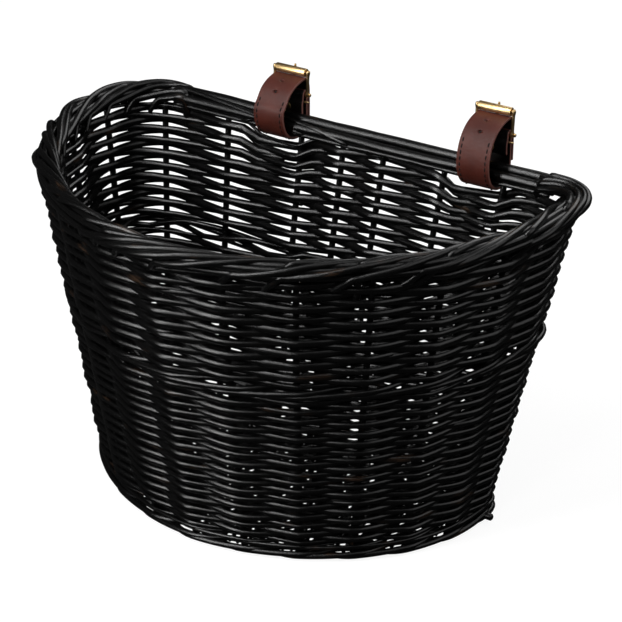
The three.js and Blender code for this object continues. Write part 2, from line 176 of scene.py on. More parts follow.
class Rods:
    """Round rods gathered into one mesh. Paths and radii are in millimetres."""

    END_RINGS = ((0.30, 0.62), (0.12, 0.90))  # each end narrows over two rings: reach and width, in radii
    GAP = 0.06  # the part of a row's width that stays empty on each side of the unwrapped rod

    def __init__(self, sides):
        self.sides = sides
        self.rings = []
        self.places = []
        self.seeds = []

    def add(self, path, radius, outward, seed):
        """outward is any direction that isn't along the rod; the rings are turned to it."""
        path = np.asarray(path, float)
        radius = np.broadcast_to(np.asarray(radius, float), len(path)).copy()
        outward = np.broadcast_to(np.asarray(outward, float), path.shape)
        tangent = unit(np.gradient(path, axis=0))
        for reach, width in reversed(self.END_RINGS):
            first = path[0] - tangent[0] * radius[0] * reach
            last = path[-1] + tangent[-1] * radius[-1] * reach
            path = np.vstack([first, path, last])
            radius = np.concatenate([[radius[0] * width], radius, [radius[-1] * width]])
            tangent = np.vstack([tangent[0], tangent, tangent[-1]])
            outward = np.vstack([outward[0], outward, outward[-1]])
        across = unit(np.cross(tangent, outward))
        normal = np.cross(across, tangent)
        angle = np.arange(self.sides) * 2 * math.pi / self.sides
        cos, sin = np.cos(angle)[None, :, None], np.sin(angle)[None, :, None]
        ring = cos * normal[:, None] + sin * across[:, None]
        self.rings.append(path[:, None] + ring * radius[:, None, None])
        place = np.empty((len(path), self.sides, 3))
        place[..., 0] = lengths_along(path)[:, None] + seed * 1000
        place[..., 1] = np.cos(angle) * radius[:, None]
        place[..., 2] = np.sin(angle) * radius[:, None]
        self.places.append(place)
        self.seeds.append(np.full(len(path) * self.sides, seed))

    def build(self, name, material):
        sides = self.sides
        faces = []
        strips = []
        start = 0
        side = np.arange(sides)
        turned = (side + 1) % sides
        for ring in self.rings:
            count = len(ring)
            base = start + np.arange(count - 1)[:, None] * sides
            quads = np.stack([base + side, base + sides + side, base + sides + turned, base + turned], -1)
            faces.extend(quads.reshape(-1, 4).tolist())
            faces.append((start + side).tolist())
            faces.append((start + (count - 1) * sides + side[::-1]).tolist())
            strips.append(np.linalg.norm(np.diff(ring.mean(1), axis=0), axis=1))
            start += count * sides
        vertices = np.vstack([r.reshape(-1, 3) for r in self.rings]) * MM
        mesh = bpy.data.meshes.new(name)
        mesh.from_pydata(vertices.tolist(), [], faces)
        smooth = np.array([len(f) == 4 for f in faces])
        mesh.polygons.foreach_set("use_smooth", smooth)
        place = mesh.attributes.new("rod_place", "FLOAT_VECTOR", "POINT")
        place.data.foreach_set("vector", np.vstack([p.reshape(-1, 3) for p in self.places]).ravel())
        seed = mesh.attributes.new("rod_seed", "FLOAT", "POINT")
        seed.data.foreach_set("value", np.concatenate(self.seeds))
        self.unwrap(mesh, strips)
        mesh.materials.append(material)
        mesh.update()
        piece = bpy.data.objects.new(name, mesh)
        bpy.context.scene.collection.objects.link(piece)
        return piece

    def unwrap(self, mesh, strips):
        """Lays the rods side by side in rows of a square, so that a baked picture has little waste."""
        sides = self.sides
        radii = [np.ptp(ring[len(ring) // 2], axis=0).max() / 2 for ring in self.rings]
        girth = 1.15 * 2 * math.pi * float(np.mean(radii))
        total = sum(s.sum() for s in strips)
        row_length = math.sqrt(total * girth) * 1.02
        row, along = 0, 0.0
        rows = []
        for lengths in strips:
            for length in lengths:
                if along + length > row_length:
                    row += 1
                    along = 0.0
                rows.append((row, along, along + length))
                along += length
        rows = np.array(rows)
        row_count = rows[-1, 0] + 1
        low, high = rows[:, 1] / row_length, rows[:, 2] / row_length
        side = np.arange(sides)
        used = (1 - 2 * self.GAP) / sides
        v_low = (rows[:, 0, None] + self.GAP + used * side) / row_count
        v_high = v_low + used / row_count
        u_low, u_high = (np.broadcast_to(u[:, None], v_low.shape) for u in (low, high))
        quads = np.stack([u_low, v_low, u_high, v_low, u_high, v_high, u_low, v_high], -1)
        uv = []
        at = 0
        for lengths in strips:
            uv.append(quads[at : at + len(lengths)].ravel())
            for end in (at, at + len(lengths) - 1):
                cap = np.empty((sides, 2))
                cap[:, 0] = low[end] + 0.2 * (high[end] - low[end]) * (1 + np.cos(side))
                cap[:, 1] = v_low[end]
                uv.append(cap.ravel())
            at += len(lengths)
        layer = mesh.uv_layers.new(name="OFBake")
        layer.data.foreach_set("uv", np.concatenate(uv))


# ---- materials


class Shader:
    """A short way to write a node material."""

    def __init__(self, name):
        self.material = bpy.data.materials.new(name)
        self.material.use_nodes = True
        self.tree = self.material.node_tree
        self.tree.nodes.clear()
        self.bsdf = self.node("ShaderNodeBsdfPrincipled")
        output = self.node("ShaderNodeOutputMaterial")
        self.plug(self.bsdf.outputs[0], output.inputs[0])

    def node(self, kind, inputs=None, **settings):
        """A new node. Each input is a number, a colour or another node's output."""
        made = self.tree.nodes.new(kind)
        for key, value in settings.items():
            setattr(made, key, value)
        for key, value in (inputs or {}).items():
            self.plug(value, made.inputs[key])
        return made

    def plug(self, value, socket):
        if isinstance(value, bpy.types.NodeSocket):
            self.tree.links.new(value, socket)
        elif socket.type == "RGBA":
            socket.default_value = (*value, 1)
        else:
            socket.default_value = value

    def set(self, **values):
        for key, value in values.items():
            self.plug(value, self.bsdf.inputs[key.replace("_", " ")])

    def attribute(self, name, output="Vector"):
        return self.node("ShaderNodeAttribute", attribute_name=name).outputs[output]

    def position(self):
        return self.node("ShaderNodeNewGeometry").outputs["Position"]

    def scaled(self, vector, scale):
        return self.node("ShaderNodeMapping", {"Vector": vector, "Scale": scale}).outputs[0]

    def noise(self, vector, scale, detail=3.0, roughness=0.55):
        inputs = {"Vector": vector, "Scale": scale, "Detail": detail, "Roughness": roughness}
        return self.node("ShaderNodeTexNoise", inputs).outputs["Fac"]

    def ramp(self, value, low, high, start=0.0, end=1.0):
        """value from low to high becomes start to end, and stays there outside."""
        inputs = {"Value": value, "From Min": low, "From Max": high, "To Min": start, "To Max": end}
        made = self.node("ShaderNodeMapRange", inputs, clamp=True, interpolation_type="SMOOTHSTEP")
        return made.outputs[0]

    def math(self, operation, a, b):
        return self.node("ShaderNodeMath", {0: a, 1: b}, operation=operation).outputs[0]

    def mix(self, factor, a, b):
        return self.node("ShaderNodeMix", {0: factor, 6: a, 7: b}, data_type="RGBA").outputs[2]

    def bump(self, height, distance, strength=1.0, normal=None):
        inputs = {"Height": height, "Distance": distance, "Strength": strength}
        if normal is not None:
            inputs["Normal"] = normal
        return self.node("ShaderNodeBump", inputs).outputs[0]


def willow_material(name, gloss):
    """Willow painted black: streaks along the rod, small pits, and brown bark where it is rubbed."""
    s = Shader(name)
    place = s.attribute("rod_place")
    seed = s.attribute("rod_seed", "Fac")
    streaks = s.noise(s.scaled(place, (0.06, 1.0, 1.0)), 2.6, 4.0)
    blotches = s.noise(s.scaled(place, (0.035, 0.12, 0.12)), 1.0, 2.0)
    pits = s.noise(s.scaled(place, (0.7, 1.0, 1.0)), 3.2, 3.0, 0.7)
    rubbed_rods = s.ramp(seed, 0.66, 0.92)
    rubbed = s.math("MULTIPLY", s.ramp(blotches, 0.58, 0.68), rubbed_rods)
    rubbed = s.math("MULTIPLY", rubbed, s.ramp(streaks, 0.40, 0.62))
    black = s.mix(streaks, (0.0012, 0.0012, 0.0013), (0.0040, 0.0039, 0.0038))
    colour = s.mix(s.math("MULTIPLY", rubbed, 0.7), black, (0.062, 0.034, 0.019))
    rough = s.ramp(pits, 0.35, 0.75, gloss, gloss + 0.12)
    s.set(Base_Color=colour, Roughness=rough, Specular_IOR_Level=0.5)
    ridges = s.bump(streaks, 0.00025, 0.4)
    s.set(Normal=s.bump(pits, 0.00012, 0.3, ridges))
    return s.material


def leather_material(name, dark, light, grain):
    """Finished leather: a fine pebbled grain, slow colour changes, and small scratches."""
    s = Shader(name)
    place = s.position()
    tone = s.noise(place, 60, 4.0)
    fine = s.noise(place, 900, 3.0)
    inputs = {"Vector": place, "Scale": grain}
    cells = s.node("ShaderNodeTexVoronoi", inputs, feature="DISTANCE_TO_EDGE")
    pebbles = s.ramp(cells.outputs["Distance"], 0.0, 0.25)
    colour = s.mix(s.ramp(tone, 0.3, 0.7), dark, light)
    s.set(Base_Color=colour, Roughness=s.ramp(fine, 0.3, 0.7, 0.42, 0.56), Specular_IOR_Level=0.45)
    s.set(Normal=s.bump(fine, 0.00008, 0.35, s.bump(pebbles, 0.00012, 0.45)))
    return s.material


def brass_material():
    """Plated brass: brushed lengthwise, with darker tarnish away from the rubbed places."""
    s = Shader("brass")
    place = s.position()
    tarnish = s.ramp(s.noise(place, 140, 4.0), 0.5, 0.8)
    brushed = s.noise(s.scaled(place, (0.03, 1.0, 1.0)), 1500, 2.0)
    colour = s.mix(tarnish, (0.83, 0.58, 0.28), (0.60, 0.38, 0.16))
    s.set(Base_Color=colour, Metallic=1.0, Roughness=s.ramp(tarnish, 0.0, 1.0, 0.33, 0.42))
    s.set(Normal=s.bump(brushed, 0.00001, 0.12))
    return s.material


def thread_material():
    s = Shader("strap_thread")
    place = s.position()
    twist = s.noise(s.scaled(place, (1.0, 1.0, 0.4)), 2500, 2.0)
    s.set(Base_Color=s.mix(twist, (0.003, 0.0015, 0.0012), (0.010, 0.004, 0.003)), Roughness=0.85)
    s.set(Normal=s.bump(twist, 0.0001, 0.6))
    return s.material


willow = willow_material("black_willow", 0.18)
border_willow = willow_material("black_willow_border", 0.2)

# ---- stakes

STAKE_NAMES = sorted(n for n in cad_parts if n.startswith("stake_"))
STAKE_RADIUS = 2.3
STAKE_INTO_BORDER = 4.5
STAKE_SAMPLES = 40


def willow_piece(rods, part, *nodes, material=willow):
    """Builds the rods as one piece of the basket, which stands for these CAD nodes or for the part's."""
    piece = rods.build(f"willow_{part}", material)
    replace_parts(piece, *(nodes or [part]))
    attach(piece, "basket")


def stake_ends(name):
    """Middle of the bottom and of the top of a CAD stake, in millimetres."""
    corners = np.array([v.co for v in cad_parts[name].data.vertices], float) / MM
    upper = corners[:, 2] > corners[:, 2].mean()
    return corners[~upper].mean(0), corners[upper].mean(0)


def nearest_distance(point):
    ring = outline(TURNS, point[2], 0.0)
    return TRAVEL[int(np.argmin(np.linalg.norm(ring - point, axis=1)))]


STAKE_AT = np.sort([nearest_distance(stake_ends(name)[1]) for name in STAKE_NAMES])
STAKES = len(STAKE_AT)
STAKE_STOPS = np.concatenate([STAKE_AT, STAKE_AT[:1] + RIM_LENGTH])

wall_top = stake_ends(STAKE_NAMES[0])[1][2]
foot_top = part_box("foot_wale")[1].z / MM
wale_bottom, wale_top = (corner.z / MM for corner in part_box("middle_wale"))

for index, name in enumerate(STAKE_NAMES):
    rng = np.random.default_rng(100 + index)
    bottom, top = stake_ends(name)
    part = np.linspace(0, 1 + STAKE_INTO_BORDER / (top - bottom)[2], STAKE_SAMPLES)[:, None]
    path = bottom + (top - bottom) * part
    path[:, 0] += 0.35 * wander(rng, STAKE_SAMPLES, 9)
    path[:, 1] += 0.35 * wander(rng, STAKE_SAMPLES, 9)
    radius = STAKE_RADIUS * (1.06 - 0.14 * part[:, 0] + 0.03 * wander(rng, STAKE_SAMPLES, 3))
    rods = Rods(14)
    rods.add(path, radius, (0, 1, 0.2), rng.uniform())
    willow_piece(rods, name)

# ---- siding: the plain weave of the wall


def bay_place(count):
    """Distance along the rim for `count`, which counts stakes and parts of a bay between two stakes."""
    whole = np.floor(count).astype(int)
    part = count - whole
    lap, stake = np.divmod(whole, STAKES)
    here, there = STAKE_STOPS[stake], STAKE_STOPS[stake + 1]
    return lap * RIM_LENGTH + here + (there - here) * part


# The straps push the weave down from the border. The dip starts and is whole at these distances from a
# strap's edge, and at these below the top of the siding.
DIP_FROM, DIP_WHOLE = 20, 2
DIP_FROM_BELOW, DIP_WHOLE_BELOW = 40, 6


def soft_step(value, low, high):
    part = np.clip((value - low) / (high - low), 0, 1)
    return part * part * (3 - 2 * part)


def strap_share(distance):
    """1 where a strap passes between the border and the weave, 0 away from it."""
    x = np.mod(distance + RIM_LENGTH / 2, RIM_LENGTH) - RIM_LENGTH / 2
    share = np.zeros_like(distance)
    for side in ("left", "right"):
        middle, half_width = middle_and_half(f"{side}_strap")
        share = np.maximum(share, soft_step(np.abs(x - middle[0]) - half_width, DIP_FROM, DIP_WHOLE))
    return share


ROD_LAPS = (1.1, 1.6)  # a rod goes round the basket at least and at most this many times
JOIN_INWARD = 2.4  # how far the two ends at a join lie inside the weave
JOIN_RISE = 1.1  # and how far above and below its line


def stacked(row_share, rows, around):
    """Heights of the middle of one long rod that lies on the round below it all the way up."""
    lift = np.zeros(len(row_share))
    for lap in range(rows):
        here = np.arange(lap * around, (lap + 1) * around)
        below = here / around * row_share[0]
        if lap:
            below = lift[here - around] + row_share[here - around] / 2
        lift[here] = below + row_share[here] / 2
    lift[-1] = lift[-1 - around] + (row_share[-1 - around] + row_share[-1]) / 2
    return lift


def siding(node, bottom, top, rows, thickness, seed, samples=8, pried=0.0):
    """One rod in front of a stake and behind the next, round and round from bottom to top. An odd
    number of stakes makes each round pass the other way from the one below it. `thickness` is a rod's
    width in rows, `samples` is points in a bay, and `pried` is how deep the dip under the straps is."""
    rng = np.random.default_rng(seed)
    around = STAKES * samples
    total = rows * around
    count = np.arange(total + 1) / samples
    row_share = 1 + 0.17 * wander(rng, total + 1, 2.5 * samples)
    row_share += 0.13 * wander(rng, total + 1, 11 * samples)
    ends = np.clip(np.minimum(count * samples, total - count * samples) / around, 0, 1)
    row_share *= 0.4 + 0.6 * ends**0.6
    lift = stacked(row_share, rows, around)
    # The last round rises by one thickness as it goes, so its start and its end meet at a step.
    crown = (lift + row_share / 2)[total - around :]
    crown = crown - (crown[-1] - crown[0]) * np.arange(around + 1) / around
    distance = bay_place(count)
    scale = (top - bottom) / (crown[np.arange(total + 1) % around] + 0.25)
    z = bottom + lift * scale
    near_top = soft_step(z, top - DIP_FROM_BELOW, top - DIP_WHOLE_BELOW)
    z = z - pried * near_top * strap_share(distance)
    radius = 0.5 * row_share * scale * thickness
    swing = np.where(np.arange(rows * STAKES + 2) % 2 == 0, 1.0, -1.0)
    reach = STAKE_RADIUS + 0.5 * (top - bottom) / rows - 0.2
    swing = swing * reach * (1 + 0.09 * rng.uniform(-1, 1, len(swing)))
    whole = np.floor(count).astype(int)
    part = count - whole
    blend = 0.3 * (0.5 + 0.5 * np.cos(np.pi * part)) + 0.7 * (1 - part)
    outward = swing[whole] * blend + swing[whole + 1] * (1 - blend)
    z = z + 0.12 * wander(rng, total + 1, 5)
    points, away = wall_points(distance, z, outward)
    rods = Rods(8)
    place = 0
    while place < total:
        length = int(around * rng.uniform(*ROD_LAPS)) // samples * samples + samples // 2
        stop = min(place + length, total)
        if total - stop < around // 3:
            stop = total
        first, last = max(place - samples // 2, 0), min(stop + samples // 2, total)
        span = slice(first, last + 1)
        from_start = np.arange(last + 1 - first)
        from_end = from_start[::-1]
        # A new rod is laid in from the inside, just above the tip of the last one.
        laid_in = np.clip(1 - from_start / samples, 0, 1)
        tip = np.clip(1 - from_end / samples, 0, 1)
        path = points[span] - away[span] * (JOIN_INWARD * (laid_in + tip))[:, None]
        path[:, 2] += JOIN_RISE * (laid_in - tip)
        taper = (0.94 + 0.10 * from_end / (last - first)) * (1 - 0.25 * laid_in - 0.3 * tip)
        rods.add(path, radius[span] * taper, away[span], rng.uniform())
        place = stop
    willow_piece(rods, node)


siding("lower_siding", foot_top - 0.6, wale_bottom + 1, rows=33, thickness=1.26, seed=11)
upper_from, upper_to = wale_top - 1, wall_top + 1.6
siding("upper_siding", upper_from, upper_to, rows=19, thickness=1.31, seed=12, samples=9, pried=6.7)

# ---- wales


def wale(rods, middle, rise, radius, first_stake, seed, out=0.0, samples=9):
    """Three rods twisted round the stakes: each passes in front of two and behind one, falling as it
    goes. `out` moves them outwards."""
    rng = np.random.default_rng(seed)
    for strand in range(3):
        start = first_stake + strand
        count = start + np.arange((STAKES + 1) * samples + 1) / samples
        step = np.mod(count - start, 3)
        from_inside = np.minimum(step, 3 - step)
        inside = np.where(from_inside < 1, 0.5 + 0.5 * np.cos(np.pi * from_inside), 0)
        swing = STAKE_RADIUS + radius
        outward = out + swing * (1 - 2 * inside)
        falling = np.interp(step, [0, 0.35, 2.65, 3], [0, 0.5, -0.5, 0])
        wobble = wander(rng, len(count), 2.5 * samples)
        z = middle + rise * falling + 0.5 * wobble
        points, away = wall_points(bay_place(count), z, outward)
        thick = radius * (1 + 0.06 * wander(rng, len(count), 2 * samples))
        ends = np.minimum(np.arange(len(count)), np.arange(len(count))[::-1]) / samples
        thick *= 0.7 + 0.3 * np.clip(ends, 0, 1)
        rods.add(points, thick, away, rng.uniform())


foot = Rods(10)
wale(foot, middle=4.2, rise=3.4, radius=2.15, first_stake=2, seed=21, out=0.3)
wale(foot, middle=10.3, rise=2.0, radius=1.4, first_stake=7, seed=22)
willow_piece(foot, "foot_wale")

halfway = Rods(10)
halfway_z = (wale_bottom + wale_top) / 2
wale(halfway, middle=halfway_z, rise=6.4, radius=2.05, first_stake=4, seed=23, out=0.2)
willow_piece(halfway, "middle_wale")

# ---- rolled border

rim_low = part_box("border_outer_rod")[0].z / MM
rim_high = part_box("border_top_rod")[1].z / MM
ROPE_MIDDLE_OUT = 1.2
ROPE_MIDDLE_Z = (rim_low + rim_high) / 2 + 0.4
ROPE_WIDE = 7.4
ROPE_HIGH = 4.8
STRAND_RADIUS = 2.35
STRAND_SPACING = 22.5
STRAND_REACH = 5.3  # how many strand spacings one strand lies on the rope
TWIST_FROM, TWIST_TO = math.radians(-38), math.radians(218)
FOLDED_SHARE = 0.55
FOLD_FOOT = -27  # the height, from the rim, that a folded stake comes up from

# Seen from above the strands travel against the clock, from the left end of the straight back rail,
# round the front, to its right end. `gone` is the distance gone along that way.
RAIL_LEFT = distance_at(5.03)
RAIL_RIGHT = distance_at(1.17)
TWIST_LENGTH = RAIL_LEFT - RAIL_RIGHT


def rope_point(angle, spread):
    """(outward, z) on the rope at this angle: 0 is outside, 90 degrees on top, 180 degrees inside."""
    outward = ROPE_MIDDLE_OUT + (ROPE_WIDE + spread) * np.cos(angle)
    return outward, ROPE_MIDDLE_Z + (ROPE_HIGH + spread) * np.sin(angle)


def border_strand(rods, index, rng):
    """A rod that crosses the border from outside to inside. Some start at a sharp bend on top of it,
    where a stake is folded down, and those that reach the back rail end at such a bend."""
    reach = STRAND_REACH * STRAND_SPACING * rng.uniform(0.92, 1.1)
    start = (index + rng.uniform(-0.22, 0.22)) * STRAND_SPACING - reach
    gone = np.arange(0, reach, 3.0)
    angle = TWIST_FROM + (TWIST_TO - TWIST_FROM) * gone / reach
    gone = gone + start
    folded = rng.uniform() < FOLDED_SHARE
    first_angle = math.radians(rng.uniform(42, 92)) if folded else TWIST_FROM
    keep = (gone >= 0) & (gone <= TWIST_LENGTH) & (angle >= first_angle)
    if keep.sum() < 7:
        return
    folded = folded or start < 0
    stopped = start + reach > TWIST_LENGTH
    gone, angle = gone[keep], angle[keep]
    on_top = np.sin(np.clip((angle - angle[0]) / 2.2, 0, 1) * math.pi)
    spread = 0.4 * wander(rng, len(angle), 5) + rng.uniform(-0.4, 0.5) + 0.5 * on_top
    outward, z = rope_point(angle, spread)
    body = np.stack([gone, outward, z], 1)
    if folded:
        under = gone[0] - 1.2
        lead = [[under, 0.2, HEIGHT + FOLD_FOOT], [under, outward[0] * 0.5, z[0] - 8]]
        body[0] = under + 0.6, outward[0] * 0.9, z[0] - 1.2
    else:
        lead = [[gone[0] - 11, 0.6, HEIGHT - 21], [gone[0] - 6, 4.2, HEIGHT - 16]]
    if stopped:
        last, out, high = body[-1]
        tail = [[last + 1.5, out * 0.85, high - 2.5], [last + 2.2, out * 0.35, high - 8]]
    else:
        tail = [[gone[-1] + 5, -5.2, HEIGHT - 14], [gone[-1] + 9, -4.8, HEIGHT - 19.5]]
    route = smooth_path(np.vstack([lead, body, tail]), 2.4)
    points, away = wall_points(RAIL_LEFT - route[:, 0], route[:, 2], route[:, 1])
    part = np.linspace(0, 1, len(points))
    radius = STRAND_RADIUS * rng.uniform(0.86, 1.1)
    radius = radius * (1.05 - 0.12 * part + 0.03 * wander(rng, len(points), 8))
    radius *= np.interp(part, [0, 0.9, 1], [1, 1, 0.7])
    rods.add(points, radius, np.array([0, 0, 1.0]) + away * 0.4, rng.uniform())


border = Rods(12)
border_rng = np.random.default_rng(31)


def long_rod(start, end, outwards, heights, radius, wobble, ends=1.0):
    """A rod of the border that lies along the rim between two distances, through evenly spaced outward
    offsets and heights. It wanders by `wobble` and narrows to `ends` at both ends."""
    distance = np.arange(start, end, 4.0)
    count = len(distance)
    outward = np.interp(distance, np.linspace(start, end, len(outwards)), outwards)
    outward += wobble * wander(border_rng, count, 9)
    z = HEIGHT + np.interp(distance, np.linspace(start, end, len(heights)), heights)
    z += wobble * wander(border_rng, count, 9)
    points, away = wall_points(distance, z, outward)
    part = np.linspace(0, 1, count)
    thick = radius * (1.04 - 0.1 * part + 0.03 * wander(border_rng, count, 6))
    thick *= np.interp(part, [0, 0.04, 0.96, 1], [ends, 1, 1, ends])
    border.add(points, thick, np.array([0, 0, 1.0]) + away * 0.4, border_rng.uniform())


for index in range(int(TWIST_LENGTH / STRAND_SPACING + STRAND_REACH) + 1):
    border_strand(border, index, border_rng)

# Rods that show through the gaps of the rope: outward offset, height from the rim, and radius.
UNDER_RODS = ((6.2, -9.4, 2.1), (5.0, -5.0, 2.0), (0.8, -3.8, 2.1), (-3.6, -5.4, 2.0), (1.0, -9.5, 3.4))
for outward, height, radius in UNDER_RODS:
    long_rod(RAIL_RIGHT - 4, RAIL_LEFT + 4, [outward] * 2, [height] * 2, radius, 0.3)

# The straight rail along the back: thick rods from end to end, three short thin ones that cross over
# them, and a long thin one below.
rail_from, rail_to = RAIL_LEFT - RIM_LENGTH - 10, RAIL_RIGHT + 10
RAIL_RODS = (
    ((1.6, 1.0, 1.3, 2.0), (-4.0, -3.9, -3.8, -4.1), 3.5),
    ((-4.0, -3.6, -3.8, -3.2), (-7.8, -8.4, -8.2, -7.8), 3.5),
    ((5.2, 5.6, 4.8, 5.0), (-9.2, -8.6, -8.8, -9.2), 3.1),
    ((0.6, 1.4, 0.6, 0.2), (-11.4, -11.8, -11.6, -11.4), 2.6),
)
for outwards, heights, radius in RAIL_RODS:
    long_rod(rail_from, rail_to, outwards, heights, radius, 0.4)
CROSSING_RODS = (
    (rail_from, -30, (0.0, -3.6, -6.4, -4.2), (-1.6, -3.4, -6.4, -12.4), 1.8),
    (-84, 8, (-4.6, -3.0, -5.6, -4.6), (-12.4, -3.6, -5.6, -12.4), 1.7),
    (-30, rail_to, (4.6, 4.2, 3.8, 1.0), (-4.0, -3.6, -3.2, -3.0), 1.7),
)
for start, end, outwards, heights, radius in CROSSING_RODS:
    long_rod(start, end, outwards, heights, radius, 0.3, ends=0.5)
long_rod(rail_from, rail_to, (-3.0, -3.3, -3.0, -3.2), (-12.6, -12.8, -12.6, -12.8), 1.8, 0.2)

border_nodes = [f"border_{place}_rod" for place in ("outer", "inner", "top")]
willow_piece(border, "border", *border_nodes, material=border_willow)

# ---- base

BASE_WEAVER = 1.35
BASE_SWING = 3.1
STICK_RADIUS = 2.45
STICK_SAMPLES = 50
sticks = []
for name in sorted(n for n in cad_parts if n.startswith("base_stick_")):
    low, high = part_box(name)
    middle_y, stick_z = (low.y + high.y) / 2 / MM, (low.z + high.z) / 2 / MM
    left, right = low.x / MM, high.x / MM
    rng = np.random.default_rng(400 + len(sticks))
    x = np.linspace(left, right, STICK_SAMPLES)
    y = middle_y + 0.4 * wander(rng, STICK_SAMPLES, 12)
    path = np.stack([x, y, np.full(STICK_SAMPLES, stick_z)], 1)
    if right + left > 1:  # the stick that pokes out at the right is bent a little forwards
        path[:, 0] += 3 * soft_step(x, 100, right)
        path[:, 1] -= 5 * soft_step(x, 60, right)
    rods = Rods(14)
    rods.add(path, STICK_RADIUS + 0.05 * wander(rng, STICK_SAMPLES, 4), (0, 0, 1), rng.uniform())
    willow_piece(rods, name)
    sticks.append((middle_y, left, right))
sticks.sort()


def base_reach(x):
    """How far the base weave goes to the front and to the back at this x."""
    ring = outline(np.linspace(1, 3, 400), stick_z, -5.0)
    front_part = ring[:, 1] < FOOT[2]
    front_x, front_y = ring[front_part][::-1, :2].T
    back_x, back_y = ring[~front_part][:, :2].T
    straight_back = outline(0, stick_z, -5.0)[1]
    return np.interp(x, front_x, front_y), np.interp(x, back_x, back_y, left=straight_back)


base = Rods(8)
base_rng = np.random.default_rng(41)
widest = outline(2, stick_z, -7.0)[0]
column = 0
x = -widest
while x < widest:
    front, back = base_reach(abs(x))
    stops = [y for y, left, right in sticks if front + 2 < y < back - 2]
    y = np.concatenate([[front], stops, [back]])
    steps = np.arange(0, (len(y) - 1) * 7 + 1) / 7
    path_y = np.interp(steps, np.arange(len(y)), y)
    side = 1 if column % 2 else -1
    z = stick_z + side * BASE_SWING * np.cos(np.pi * (steps - 1))
    wobble = 0.3 * wander(base_rng, len(steps), 6)
    path = np.stack([x + wobble, path_y, z], 1)
    thick = BASE_WEAVER * (1 + 0.08 * wander(base_rng, len(steps), 10))
    base.add(path, thick, (1, 0, 0), base_rng.uniform())
    x += 2 * BASE_WEAVER + 0.25
    column += 1
willow_piece(base, "base_weave")

# ---- straps and buckles

# name, the darker and the lighter colour, and how many grains there are in a metre
LEATHERS = (
    ("brown_leather", (0.072, 0.0135, 0.0078), (0.108, 0.0215, 0.0125), 1500),
    # The second leather is near-black painted shade, for the strap's inside face and its fold.
    ("brown_leather_painted_shade", (0.0045, 0.0026, 0.0022), (0.009, 0.005, 0.0042), 700),
    ("brown_leather_edge", (0.25, 0.095, 0.078), (0.36, 0.155, 0.125), 2200),
)
leather_face, painted_shade_leather, leather_edge = (leather_material(*leather) for leather in LEATHERS)
FACE, PAINTED_SHADE, EDGE = range(3)
brass = brass_material()
thread = thread_material()

LEATHER = 1.9
RIM_BACK = 125.0  # y of the back of the border
UNDER_ROLLER = 5  # which point of the strap line is under the roller
FRAME_LENGTH = 15.5  # from the roller's axis to the heel pin's
BAR_RADIUS = 1.15
HOLES_AFTER_ROLLER = (10.5, 21)
HOLE_RADIUS = 1.3
RIVET_HOLE_RADIUS = 1.9
RIVET_BELOW_HEEL = 9.3


def strap_line(rise, heel):
    """Middle line of the leather in (depth, height) from the back and the top of the border: the loose
    end, through the buckle, over the handlebar's place, under the border, up the back, round the heel
    pin, and down to the end of the riveted fold."""
    loose_end = [(7.2, heel - 20), (7.2, heel - 10), (7.1, heel - 2), (6.9, heel + 4), (5.5, heel + 8.7)]
    in_buckle = [(2.6, heel + 11.3), (-4.2, heel + 10.9), (-11, rise - 6.4), (-17, rise - 9.9)]
    inside = [(-22.4, rise - 16.4), (-25.4, 0.2 * rise), (-25.9, -1), (-24.2, -7.5), (-20.8, -13)]
    under_border = [(-15.6, -17), (-8.5, -18.8), (-1.6, -18.4), (3, -15.2)]
    up_back = [(4.2, -9), (4.2, heel - 8), (4.2, heel - 2)]
    points = loose_end + in_buckle + inside + under_border + up_back
    for degrees in range(0, 181, 30):
        angle = math.radians(degrees)
        points.append((2 + 2.2 * math.cos(angle), heel + 2.2 * math.sin(angle)))
    points += [(-0.6, heel - 3), (-1.5, heel - 6), (-1.6, heel - 10), (-1.3, heel - 13.5)]
    return np.array(points)


def solid(name, vertices, faces, material):
    """A closed mesh whose faces are all turned outwards."""
    mesh = bpy.data.meshes.new(name)
    mesh.from_pydata([tuple(v) for v in vertices], [], faces)
    shell = bmesh.new()
    shell.from_mesh(mesh)
    bmesh.ops.recalc_face_normals(shell, faces=shell.faces)
    shell.to_mesh(mesh)
    shell.free()
    mesh.materials.append(material)
    piece = bpy.data.objects.new(name, mesh)
    bpy.context.scene.collection.objects.link(piece)
    return piece


def normals(line):
    """Directions square to a (y, z) line."""
    tangent = unit(np.gradient(line, axis=0))
    return np.stack([-tangent[:, 1], tangent[:, 0]], 1)


def ring_faces(rings, count, closed):
    """Quads between neighbouring rings of `count` points, and from last to first if closed."""
    faces = []
    for i in range(rings if closed else rings - 1):
        a, b = i * count, (i + 1) % rings * count
        faces += [(a + j, b + j, b + (j + 1) % count, a + (j + 1) % count) for j in range(count)]
    return faces


def sweep(line, section):
    """Vertices and faces of a closed (x, across) section swept along a (y, z) line."""
    rings = []
    for point, away in zip(line, normals(line)):
        ring = [(x, point[0] + away[0] * across, point[1] + away[1] * across) for x, across in section]
        rings.append(ring)
    count = len(section)
    vertices = np.array(rings).reshape(-1, 3)
    ends = [tuple(range(count)), tuple(reversed(range(len(vertices) - count, len(vertices))))]
    return vertices, ring_faces(len(line), count, False) + ends


def leather_section(half_width):
    """A rounded rectangle, as (x, across), with its long faces divided for a smooth crown."""
    half = LEATHER / 2
    bevel = 0.45
    corner = [(math.cos(a), math.sin(a)) for a in np.linspace(0, math.pi / 2, 4)]
    section = []
    for sign_x, sign_y, order in ((1, 1, 1), (-1, 1, -1), (-1, -1, 1), (1, -1, -1)):
        for cx, cy in corner[::order]:
            x = sign_x * (half_width - bevel + bevel * cx)
            section.append((x, sign_y * (half - bevel + bevel * cy)))
        if (sign_x, sign_y) in ((1, 1), (-1, -1)):
            for x in np.linspace(sign_x * (half_width - 3), -sign_x * (half_width - 3), 7):
                section.append((x, sign_y * half))
    return section


